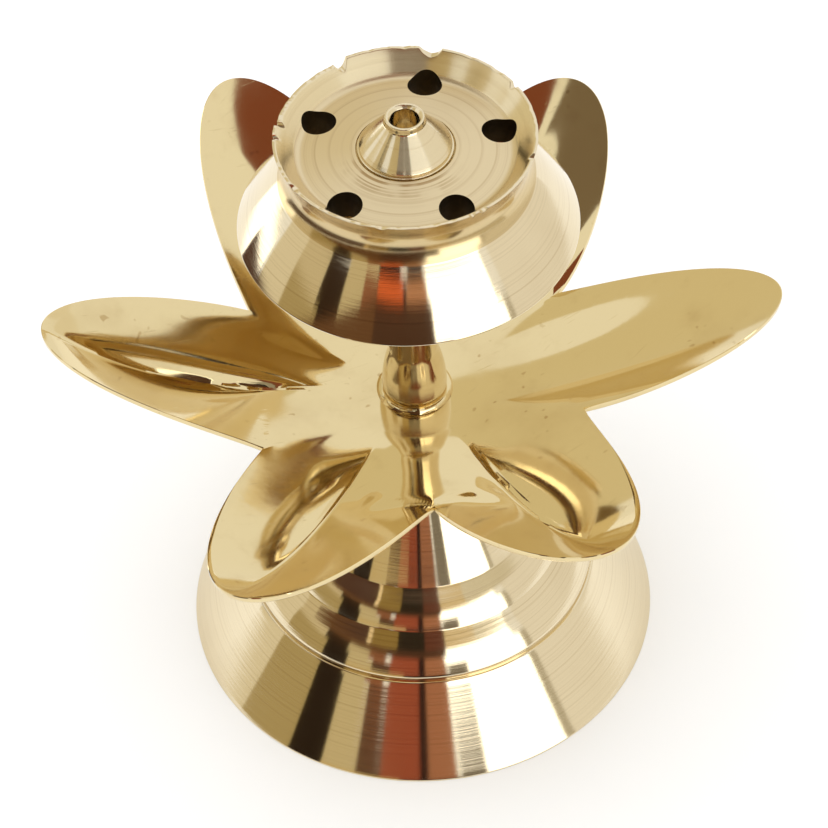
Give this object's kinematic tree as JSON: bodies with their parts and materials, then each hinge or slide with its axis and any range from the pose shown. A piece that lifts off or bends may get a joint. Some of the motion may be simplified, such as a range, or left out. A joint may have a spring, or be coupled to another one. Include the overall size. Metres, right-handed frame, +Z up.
{
  "type": "incense stick holder",
  "caption": "Brass incense stand: stepped cone base, open lotus of bent petals, and a raised bell-shaped cup whose bowl has stick holes round a screw-on centre cone.",
  "frame": {"origin": "on the axis, in the plane that the base stands on", "axes": "+Z up along the axis and out of the centre stick hole, -Y towards the picture's camera"},
  "size_m": [0.0884, 0.08, 0.0859],
  "materials": {
    "turned_brass": "turned, bright",
    "sheet_brass": "polished sheet",
    "polished_brass": "polished",
    "steel": "zinc plated"
  },
  "bodies": {
    "stand": {"base": "turned_brass", "tie_rod": "steel", "plain_washer": "steel", "spring_washer": "steel", "hex_nut": "steel"},
    "lotus": {"petal_plate": "sheet_brass"},
    "pillar": {"stem": "polished_brass"},
    "burner": {"cup": "turned_brass"},
    "lift_washer": {"cone_washer": "polished_brass"},
    "cone": {"stick_cone": "polished_brass"}
  },
  "joints": [
    {"name": "lotus_turn", "type": "hinge", "parent": "stand", "child": "lotus", "pos_m": [0, 0, 0.041], "axis": [0, 0, 1], "continuous": true},
    {"name": "stem_turn", "type": "hinge", "parent": "stand", "child": "pillar", "pos_m": [0, 0, 0.056], "axis": [0, 0, 1], "continuous": true},
    {"name": "cup_turn", "type": "hinge", "parent": "stand", "child": "burner", "pos_m": [0, 0, 0.075], "axis": [0, 0, 1], "continuous": true},
    {"name": "cone_lift", "type": "slide", "parent": "stand", "child": "lift_washer", "axis": [0, 0, 1], "range_m": [0, 0.0063]},
    {"name": "cone_turn", "type": "hinge", "parent": "lift_washer", "child": "cone", "pos_m": [0, 0, 0.082], "axis": [0, 0, 1], "range_deg": [0, 3241]}
  ],
  "couplings": [
    {"joint": "cone_turn", "follows": "cone_lift", "rad_per_m": 8976}
  ]
}
